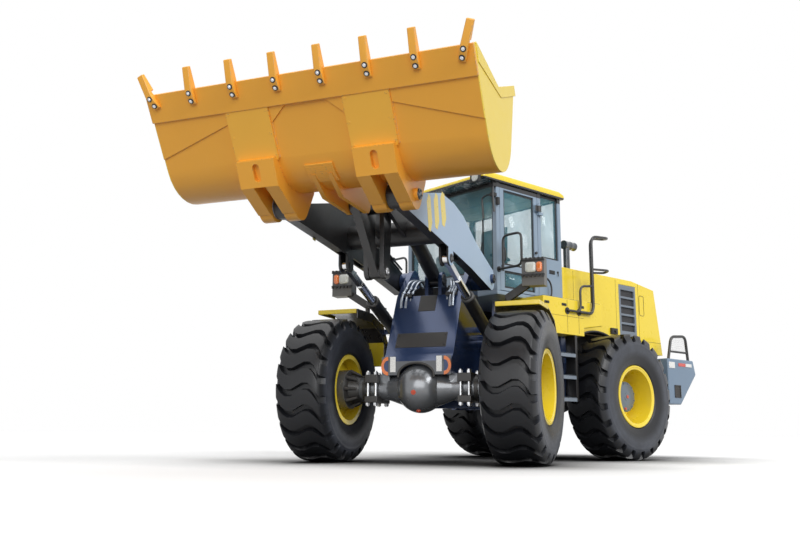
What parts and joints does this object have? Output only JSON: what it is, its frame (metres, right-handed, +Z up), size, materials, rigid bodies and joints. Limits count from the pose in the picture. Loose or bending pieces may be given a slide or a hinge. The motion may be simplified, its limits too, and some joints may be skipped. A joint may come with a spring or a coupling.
{
  "type": "articulated wheel loader",
  "caption": "Articulated wheel loader with a wide toothed bucket on twin lift arms, Z-bar tilt linkage, hydraulic cylinders, glazed cab, rear hood and heavy lugged tyres.",
  "frame": {"origin": "on the ground under the middle of the machine, in its steered rest pose", "axes": "+X forward along the rear half, +Y to its left, +Z up; the front half is steered to the left at rest"},
  "size_m": [8.6039, 4.9621, 3.4498],
  "materials": {
    "yellow_paint": "semi-gloss yellow enamel",
    "amber_paint": "semi-gloss amber enamel",
    "steel_blue_paint": "semi-gloss blue-grey enamel",
    "navy_paint": "gloss dark navy enamel",
    "black_paint": "satin black enamel",
    "rod_chrome": "polished hard chrome",
    "axle_iron": "painted casting",
    "clear_glass": "tinted safety glass",
    "black_plastic": "moulded matte black",
    "seat_fabric": "woven cover",
    "tyre_rubber": "matte rubber"
  },
  "bodies": {
    "rear_frame": {"rear_chassis": "navy_paint", "rear_axle": "axle_iron", "powertrain": "navy_paint", "hood": "yellow_paint", "hood_grilles": "black_plastic", "counterweight": "steel_blue_paint", "side_decks": "yellow_paint", "ladders": "black_paint", "handrails": "black_paint", "cab_base": "steel_blue_paint", "cab_frame": "steel_blue_paint", "cab_roof": "yellow_paint", "cab_glass": "clear_glass", "seat": "seat_fabric", "operator_stand": "black_plastic", "stack": "black_paint", "lamp_guards": "black_paint", "hand_loops": "black_plastic"},
    "front_frame": {"front_chassis": "navy_paint", "front_axle": "axle_iron", "front_fenders": "yellow_paint", "headlamps": "black_plastic"},
    "loader_arms": {"boom": "steel_blue_paint"},
    "bell_crank": {"bell_crank": "black_paint"},
    "bucket_link": {"bucket_link": "black_paint"},
    "tilt_barrel": {"tilt_barrel": "black_paint"},
    "tilt_rod": {"tilt_rod": "rod_chrome"},
    "lift_barrel_left": {"lift_barrel_left": "black_paint"},
    "lift_barrel_right": {"lift_barrel_right": "black_paint"},
    "lift_rod_left": {"lift_rod_left": "rod_chrome"},
    "lift_rod_right": {"lift_rod_right": "rod_chrome"},
    "bucket": {"bucket_shell": "amber_paint", "cutting_edge": "amber_paint", "bucket_teeth": "amber_paint"},
    "door_left": {"door_left": "steel_blue_paint", "door_left_glass": "clear_glass"},
    "door_right": {"door_right": "steel_blue_paint", "door_right_glass": "clear_glass"},
    "wheel_front_left": {"tyre_front_left": "tyre_rubber", "rim_front_left": "yellow_paint"},
    "wheel_front_right": {"tyre_front_right": "tyre_rubber", "rim_front_right": "yellow_paint"},
    "wheel_rear_left": {"tyre_rear_left": "tyre_rubber", "rim_rear_left": "yellow_paint"},
    "wheel_rear_right": {"tyre_rear_right": "tyre_rubber", "rim_rear_right": "yellow_paint"}
  },
  "joints": [
    {"name": "articulation", "type": "hinge", "parent": "rear_frame", "child": "front_frame", "pos_m": [-0.628, -1.064, 1], "axis": [0, 0, 1], "range_deg": [-62.3, 7.7]},
    {"name": "boom_lift", "type": "hinge", "parent": "front_frame", "child": "loader_arms", "pos_m": [0.24285, -0.61452, 2.08], "axis": [0.4586, -0.8886, 0], "range_deg": [-44, 38]},
    {"name": "bucket_tilt", "type": "hinge", "parent": "loader_arms", "child": "bucket", "pos_m": [2.78429, 0.69721, 2.32], "axis": [-0.4586, 0.8886, 0], "range_deg": [0, 132]},
    {"name": "bell_crank_turn", "type": "hinge", "parent": "loader_arms", "child": "bell_crank", "pos_m": [1.98453, 0.28443, 2.53], "axis": [0.4586, -0.8886, 0], "range_deg": [-2, 63.47]},
    {"name": "bucket_link_turn", "type": "hinge", "parent": "bucket", "child": "bucket_link", "pos_m": [2.41996, 0.50917, 2.39], "axis": [0.4586, -0.8886, 0], "range_deg": [-2, 115.87]},
    {"name": "tilt_barrel_swing", "type": "hinge", "parent": "front_frame", "child": "tilt_barrel", "pos_m": [0.43834, -0.51362, 2.06], "axis": [0.4586, -0.8886, 0], "range_deg": [-49.76, 43.25]},
    {"name": "tilt_rod_slide", "type": "slide", "parent": "tilt_barrel", "child": "tilt_rod", "axis": [0.7957, 0.4107, 0.4452], "range_m": [-0.4053, 0.02]},
    {"name": "lift_barrel_left_swing", "type": "hinge", "parent": "front_frame", "child": "lift_barrel_left", "pos_m": [-0.20537, -0.2258, 1.37], "axis": [0.4586, -0.8886, 0], "range_deg": [-35.4, 30.84]},
    {"name": "lift_rod_left_slide", "type": "slide", "parent": "lift_barrel_left", "child": "lift_rod_left", "axis": [0.8288, 0.4278, 0.3606], "range_m": [-0.4735, 0.4117]},
    {"name": "lift_barrel_right_swing", "type": "hinge", "parent": "front_frame", "child": "lift_barrel_right", "pos_m": [0.30007, -1.20505, 1.37], "axis": [0.4586, -0.8886, 0], "range_deg": [-35.4, 30.84]},
    {"name": "lift_rod_right_slide", "type": "slide", "parent": "lift_barrel_right", "child": "lift_rod_right", "axis": [0.8288, 0.4278, 0.3606], "range_m": [-0.4735, 0.4117]},
    {"name": "door_left_open", "type": "hinge", "parent": "rear_frame", "child": "door_left", "pos_m": [-1.116, -0.236, 2.7], "axis": [0, 0, 1], "range_deg": [0, 95]},
    {"name": "door_right_open", "type": "hinge", "parent": "rear_frame", "child": "door_right", "pos_m": [-1.116, -1.892, 2.7], "axis": [0, 0, -1], "range_deg": [0, 95]},
    {"name": "wheel_front_left_spin", "type": "hinge", "parent": "front_frame", "child": "wheel_front_left", "pos_m": [0.32453, 0.68802, 0.795], "axis": [-0.4586, 0.8886, 0], "continuous": true},
    {"name": "wheel_front_right_spin", "type": "hinge", "parent": "front_frame", "child": "wheel_front_right", "pos_m": [1.35191, -1.30248, 0.795], "axis": [-0.4586, 0.8886, 0], "continuous": true},
    {"name": "wheel_rear_left_spin", "type": "hinge", "parent": "rear_frame", "child": "wheel_rear_left", "pos_m": [-2.278, 0.056, 0.795], "axis": [0, 1, 0], "continuous": true},
    {"name": "wheel_rear_right_spin", "type": "hinge", "parent": "rear_frame", "child": "wheel_rear_right", "pos_m": [-2.278, -2.184, 0.795], "axis": [0, 1, 0], "continuous": true}
  ],
  "couplings": [
    {"joint": "bell_crank_turn", "follows": "bucket_tilt", "ratio": 0.46566},
    {"joint": "bucket_link_turn", "follows": "bucket_tilt", "ratio": 0.86268},
    {"joint": "tilt_barrel_swing", "follows": "boom_lift", "ratio": 1.0854},
    {"joint": "tilt_rod_slide", "follows": "bucket_tilt", "m_per_rad": -0.16725},
    {"joint": "lift_barrel_left_swing", "follows": "boom_lift", "ratio": 0.759},
    {"joint": "lift_rod_left_slide", "follows": "boom_lift", "m_per_rad": 0.5906},
    {"joint": "lift_barrel_right_swing", "follows": "boom_lift", "ratio": 0.759},
    {"joint": "lift_rod_right_slide", "follows": "boom_lift", "m_per_rad": 0.5906}
  ]
}
